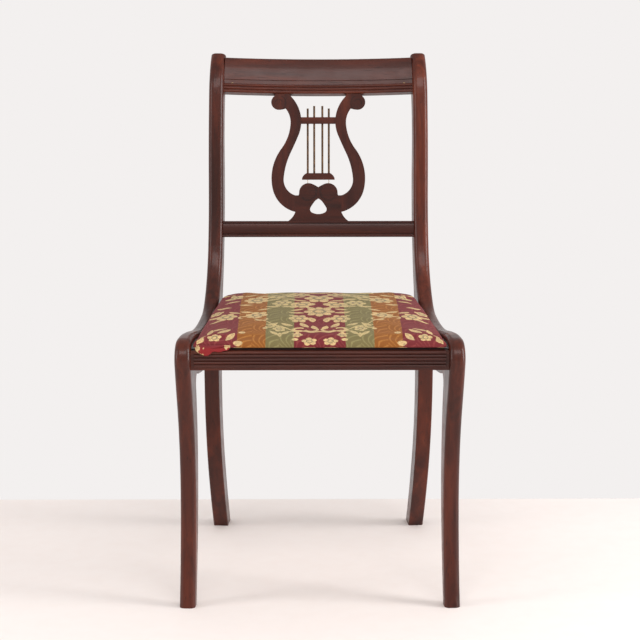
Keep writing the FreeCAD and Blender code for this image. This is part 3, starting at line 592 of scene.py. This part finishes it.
class Cloth:
    """The pattern's plane in centimetres from the middle of the seat, with shapes to draw on it.
    A shape is a number that is below 0 inside it and grows outwards, in centimetres."""

    def __init__(self, paint, plane):
        self.paint = paint
        self.plane = plane

    def local(self, place, size, turn):
        """Across and along of a motif's own frame, where its half length and half width are 1."""
        frame = self.paint.node("ShaderNodeMapping", {"vector_type": "TEXTURE"}, {
            "Vector": self.plane, "Location": (*place, 0), "Rotation": (0, 0, math.radians(turn)),
            "Scale": (*size, 1)})
        across, along, _ = frame.parts()
        return across, along

    def leaf(self, place, half_long, half_wide, turn, bend=0.0):
        x, y = self.local(place, (half_long, half_wide), turn)
        square = x * x
        return (abs(y - square * bend) + square - 1.0) * half_wide

    def dot(self, place, radius):
        frame = self.paint.node("ShaderNodeMapping", {"vector_type": "TEXTURE"}, {
            "Vector": self.plane, "Location": (*place, 0), "Scale": (radius, radius, 1)})
        length = self.paint.node("ShaderNodeVectorMath", {"operation": "LENGTH"}, {0: frame}, "Value")
        return (length - 1.0) * radius

    def rose(self, place, radius, petals, turn=0.0, squash=1.0):
        """A flower: its outline, and the lines between and round its petals."""
        x, y = self.local(place, (radius, radius * squash), turn)
        far = (x * x + y * y).power(0.5)
        around = y.math("ARCTAN2", x) * petals
        lobes = abs((around * 0.5).cosine())
        outline = (far - lobes * 0.3 - 0.7) * radius
        seams = (lobes - 0.24).most(0.34 - far) * radius
        ring = (abs(far - 0.36) - 0.09) * radius
        return outline, seams.least(ring).most(outline + 0.1)

    def scroll(self, place, radius, width, turn):
        """Part of a ring, open on one side, like a volute."""
        x, y = self.local(place, (radius, radius), turn)
        far = (x * x + y * y).power(0.5)
        band = (abs(far - 1.0 + y * 0.22) * radius - width)
        return band.most((x + y * 0.5 - 0.55) * radius)


def joined(shapes):
    """One shape from several. Each is joined as soon as it is drawn, which keeps the shader small."""
    whole = None
    for shape in shapes:
        whole = shape if whole is None else whole.least(shape)
    return whole


def inside(shape, softness=0.035):
    return shape.between(softness, -softness)


# The damask's own design: each place is across and along in centimetres, mirrored in the middle
ROSES = (
    ((3.6, -23.6), 0.8, 5, 40, 1.2), ((8.6, 13.0), 1.5, 6, 0, 1.6), ((17.4, -5.6), 1.3, 5, 20, 1.4),
    ((1.7, -25.9), 1.25, 5, 10, 1.0), ((3.4, -14.2), 1.7, 6, 0, 1.5), ((0.0, -9.0), 2.6, 8, 0, 1.5),
    ((2.9, -3.2), 2.0, 5, 30, 1.5), ((0.0, 3.0), 2.5, 6, 0, 1.7), ((3.2, 9.4), 1.9, 7, 0, 1.6),
    ((10.4, -10.2), 1.9, 6, 15, 1.25), ((10.6, 3.2), 2.2, 7, 0, 1.5), ((6.5, 6.5), 1.9, 5, 40, 1.6),
    ((6.3, -1.4), 1.7, 6, 0, 1.6), ((6.6, -20.2), 1.1, 5, 0, 1.4), ((17.0, -24.6), 1.15, 5, 20, 1.1),
    ((14.6, 8.2), 1.7, 5, 0, 1.6), ((15.4, -10.6), 1.8, 6, 0, 1.5),
)
LEAVES = (
    # round the middle bunch
    ((2.6, -18.2), 1.5, 0.55, 62, 0.3), ((0.9, -19.6), 1.3, 0.5, 75, 0.2), ((3.9, -9.6), 1.5, 0.6, 20, 0.3),
    ((3.6, -7.2), 1.3, 0.5, -30, 0.3), ((1.2, -14.8), 1.4, 0.6, 80, -0.3), ((3.3, 0.4), 1.4, 0.55, 15, 0.3),
    ((1.4, 8.2), 1.6, 0.6, 60, 0.3), ((3.4, 5.2), 1.4, 0.6, -20, 0.3), ((1.1, 12.6), 1.9, 0.6, 25, 0.3),
    ((3.2, 14.2), 1.6, 0.55, 12, -0.3), ((1.5, -5.8), 1.2, 0.5, 45, 0.3),
    # sprays on the green stripes
    ((5.4, -17.8), 1.3, 0.45, 40, 0.3), ((7.6, -17.6), 1.3, 0.45, 130, -0.3),
    ((5.6, -22.4), 1.1, 0.42, -60, 0.2),
    ((7.4, -22.6), 1.2, 0.42, -120, 0.2), ((6.5, -23.4), 1.0, 0.38, 90, 0.0), ((5.2, 2.2), 1.6, 0.6, 30, 0.3),
    ((7.6, 2.8), 1.5, 0.6, -35, 0.3), ((5.4, 10.4), 1.6, 0.6, -20, 0.3), ((7.4, 12.0), 1.6, 0.6, 25, 0.3),
    ((5.0, -4.6), 1.4, 0.5, -10, 0.3), ((7.8, -4.2), 1.4, 0.5, 20, 0.3),
    # sprays on the gold stripes
    ((9.2, 7.0), 1.5, 0.55, 15, 0.3), ((11.8, 8.6), 1.5, 0.55, -20, 0.3), ((10.2, 12.6), 1.6, 0.6, 10, -0.3),
    ((12.2, -7.4), 1.3, 0.5, 35, 0.3), ((9.2, -6.2), 1.2, 0.45, -25, 0.3), ((12.4, -1.2), 1.3, 0.5, 20, 0.3),
    # branches on the outer stripes
    ((17.4, -9.2), 1.7, 0.6, 18, 0.3), ((16.8, -12.8), 1.5, 0.55, -20, 0.3),
    ((14.2, -7.4), 1.4, 0.5, 45, 0.3),
    ((15.4, -21.8), 1.6, 0.55, -48, 0.25), ((16.4, -20.2), 1.5, 0.5, -20, 0.25),
    ((17.8, -21.0), 1.4, 0.5, -75, 0.2),
    ((14.4, -24.2), 1.5, 0.5, -62, 0.2), ((18.6, -23.0), 1.3, 0.5, -50, 0.2),
    ((19.2, -25.6), 1.4, 0.55, -70, 0.2),
    ((16.2, -1.8), 1.6, 0.55, 30, 0.3), ((14.8, 2.4), 1.5, 0.5, -15, 0.3), ((16.0, 12.2), 1.6, 0.55, 20, 0.3),
)
SCROLLS = (
    ((1.3, -20.6), 1.0, 0.24, 20), ((3.2, -20.9), 0.95, 0.24, 160), ((8.4, -18.3), 0.85, 0.22, -20),
    ((4.6, -22.2), 0.8, 0.22, -60), ((9.4, -13.6), 0.9, 0.2, 40), ((12.6, -12.0), 0.8, 0.2, 200),
)
DOTS = (
    ((13.2, -26.4), 0.75), ((8.9, -20.0), 0.42), ((12.6, -22.4), 0.55), ((4.0, -25.2), 0.5),
    ((4.7, -12.0), 0.35),
)
# Where each stripe starts, across from the middle, and how soft its edge is
GREEN_FROM = 4.15
GOLD_FROM = 8.75
OUTER_FROM = 13.3
STRIPE_BLUR = 0.04
# Half the sides of the cell that each fan of fern lines fills, and the weave's waves to a centimetre
FERN_CELL = (2.2, 2.6)
WEAVE = 62.0


def figured_cloth():
    """Striped damask: flowers, leaves and scrolls in cream on burgundy, green and gold stripes."""
    paint = Paint("seat_damask")
    where = paint.node("ShaderNodeUVMap", {"uv_map": "cloth"})
    plane = paint.node("ShaderNodeVectorMath", {"operation": "SCALE"}, {0: where, "Scale": CENTIMETRES})
    across, along, _ = plane.parts()
    side = abs(across)
    ragged = paint.noise(plane, 5, 2, 0.6)
    fold = paint.node("ShaderNodeCombineXYZ", {}, {
        0: side + (ragged - 0.5) * 0.16, 1: along + (paint.noise(plane, 4.2, 2, 0.6) - 0.5) * 0.22, 2: 0.0})
    cloth = Cloth(paint, fold)

    blooms, petal_seams = cloth.rose(*ROSES[0])
    for rose in ROSES[1:]:
        outline, petal_seam = cloth.rose(*rose)
        blooms = blooms.least(outline)
        petal_seams = petal_seams.least(petal_seam)
    foliage = joined(cloth.leaf(*leaf) for leaf in LEAVES)
    swag = abs(along + 22.3 - side * side * 0.085 - (side * 2.1).cosine() * 0.25) - 0.24
    swag = swag.most(side - 12.2)
    line = swag.least(joined(cloth.scroll(*scroll) for scroll in SCROLLS))
    line = line.least(joined(cloth.dot(*dot) for dot in DOTS))
    cream = inside(joined([blooms, foliage, line]))
    seams = inside(petal_seams, 0.05)
    veins = inside(foliage + 0.3, 0.12) * inside(foliage)

    # fern lines, tone on tone, fanning out from points along each stripe
    half_wide, half_long = FERN_CELL
    cell = paint.node("ShaderNodeVectorMath", {"operation": "WRAP"}, {
        0: plane, 1: (half_wide, half_long, 1.0), 2: (-half_wide, -half_long, -1.0)})
    cell_x, cell_y, _ = cell.parts()
    reach = (cell_x * cell_x + cell_y * cell_y).power(0.5)
    fan = (cell_y + half_long).math("ARCTAN2", cell_x) * 9.0 + reach * 1.6
    ferns = abs(fan.cosine()).between(0.86, 0.97) * ragged.between(0.34, 0.5)

    stripe_edge = side + (ragged - 0.5) * 0.05
    green = stripe_edge.between(GREEN_FROM, GREEN_FROM + STRIPE_BLUR)
    gold = stripe_edge.between(GOLD_FROM, GOLD_FROM + STRIPE_BLUR)
    outer = stripe_edge.between(OUTER_FROM, OUTER_FROM + STRIPE_BLUR)
    ground = paint.blend(green, tone(116, 40, 46), tone(122, 112, 72))
    ground = paint.blend(gold, ground, tone(146, 88, 36))
    ground = paint.blend(outer, ground, tone(118, 42, 46))
    pale = paint.blend(green, tone(150, 72, 66), tone(160, 150, 100))
    pale = paint.blend(gold, pale, tone(196, 134, 66))
    pale = paint.blend(outer, pale, tone(150, 70, 66))
    ground = paint.blend(ferns * 0.6, ground, pale)
    threads = paint.noise(paint.stretched(plane, (1, 0.3, 1)), 26, 2, 0.7)
    ground = paint.blend(threads.between(0.3, 0.75) * 0.3, ground, tone(66, 40, 38))

    warm = paint.noise(plane, 0.7, 2, 0.5)
    light = paint.blend(warm.between(0.35, 0.65), tone(206, 178, 128), tone(226, 192, 136))
    light = paint.blend(green * (1.0 - gold) * 0.5, light, tone(196, 184, 128))
    light = paint.blend(veins * 0.22, light, tone(150, 112, 84))
    shaded = paint.noise(fold, 1.9, 3, 0.65, 1.2)
    light = paint.blend(seams * 0.8, light, tone(112, 104, 84))
    light = paint.blend(abs(shaded - 0.5).between(0.035, 0.015) * 0.7, light, tone(122, 104, 78))
    light = paint.blend(threads.between(0.35, 0.8) * 0.25, light, tone(150, 120, 84))
    colour = paint.blend(cream, ground, light)

    ribs = (along * WEAVE).cosine() * 0.5 + (across * WEAVE).cosine() * 0.35
    height = ribs * 0.3 + threads * 0.4
    return paint.finish(Base_Color=colour, Roughness=threads * 0.2 + 0.72,
                        Normal=paint.bump(height, 0.3, 0.0005), Sheen_Weight=0.03, Specular_IOR_Level=0.2)


def turned_cloth():
    """The darker side of the cloth, crimson with cream floats at its ends."""
    paint = Paint("seat_damask_fold")
    where = paint.node("ShaderNodeUVMap", {"uv_map": "cloth"})
    plane = paint.node("ShaderNodeVectorMath", {"operation": "SCALE"}, {0: where, "Scale": CENTIMETRES})
    across, up, _ = plane.parts()
    threads = paint.noise(plane, 26, 2, 0.7)
    blotch = paint.noise(plane, 1.1, 2, 0.5)
    crimson = paint.blend(threads.between(0.3, 0.75) * 0.45, tone(142, 38, 40), tone(84, 20, 24))
    crimson = paint.blend((up + (blotch - 0.5) * 0.7).between(44.2, 44.6) * 0.9, crimson, tone(118, 42, 46))
    ends = (abs(across + 17.1) + (blotch - 0.5) * 5.0).between(2.1, 2.25)
    colour = paint.blend(ends * 0.85, crimson, tone(204, 176, 126))
    return paint.finish(Base_Color=colour, Roughness=threads * 0.2 + 0.7,
                        Normal=paint.bump(threads, 0.3, 0.0005), Sheen_Weight=0.03, Specular_IOR_Level=0.2)


def dark_edge():
    """The cloth in the shade round the board."""
    paint = Paint("seat_damask_skirt")
    threads = paint.noise(paint.place(), 2400, 2, 0.7)
    colour = paint.blend(threads.between(0.3, 0.75), tone(52, 28, 28), tone(34, 20, 20))
    return paint.finish(Base_Color=colour, Roughness=threads * 0.1 + 0.85,
                        Normal=paint.bump(threads, 0.3, 0.0004))


seat_cloths = (
    (pad, figured_cloth()), (drawn_skirt(), dark_edge()), (corner_tuck(), turned_cloth()))
for piece, material in seat_cloths:
    piece.data.materials.clear()
    piece.data.materials.append(material)
bpy.ops.object.select_all(action="DESELECT")
for name in ("seat_skirt", "seat_tuck", "seat_cushion"):
    bpy.data.objects[name].select_set(True)
bpy.context.view_layer.objects.active = pad
bpy.ops.object.join()
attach(pad, "seat")
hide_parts("seat_cover", "seat_padding")


# Floor and studio

FLOOR_LINE = 0.4065
FLOOR_SPAN = 80
WORLD_COLOUR = (1.0, 0.985, 0.975, 1)
WORLD_STRENGTH = 0.72


def studio_floor():
    """A pale floor that turns into a white backdrop behind the chair."""
    paint = Paint("studio_floor")
    output = paint.tree.nodes["Material Output"]
    x, y, z = paint.place().parts()
    behind = y.between(FLOOR_LINE - 0.002, FLOOR_LINE + 0.002)
    speckle = paint.noise(paint.place(), 30, 4, 0.6)
    floor = paint.blend(speckle.between(0.3, 0.8) * 0.5, tone(243, 234, 230), tone(240, 229, 224))
    paint.finish(Base_Color=floor, Roughness=0.7)
    wall = paint.node("ShaderNodeEmission", {}, {"Color": tone(243, 240, 239), "Strength": 1.0})
    seen = paint.node("ShaderNodeLightPath", output="Is Camera Ray")
    glossy = paint.node("ShaderNodeLightPath", output="Is Glossy Ray")
    through = paint.node("ShaderNodeLightPath", output="Is Transmission Ray")
    share = behind * seen.most(glossy).most(through)
    shader = paint.node("ShaderNodeMixShader", {}, {
        0: share, 1: Value(paint, paint.surface.outputs[0]), 2: wall})
    paint.tree.links.new(shader.socket, output.inputs["Surface"])
    return paint.material


bpy.ops.object.select_all(action="DESELECT")
bpy.ops.mesh.primitive_plane_add(size=FLOOR_SPAN)
floor = bpy.context.object
floor.name = "studio_floor"
floor.data.materials.append(studio_floor())

world = bpy.data.worlds.new("studio")
bpy.context.scene.world = world
world.use_nodes = True
backdrop = world.node_tree.nodes["Background"]
backdrop.inputs["Color"].default_value = WORLD_COLOUR
backdrop.inputs["Strength"].default_value = WORLD_STRENGTH

softbox("softbox_right", (2.6, -0.7, 1.2), (0, 0, 0.5), (0.9, 2.2), 62)
softbox("softbox_left", (-2.8, -1.0, 1.2), (0, 0, 0.5), (0.8, 2.2), 26)
softbox("softbox_front", (0.3, -4.1, 3.9), (0, 0, 0.4), (4.2, 1.6), 92)
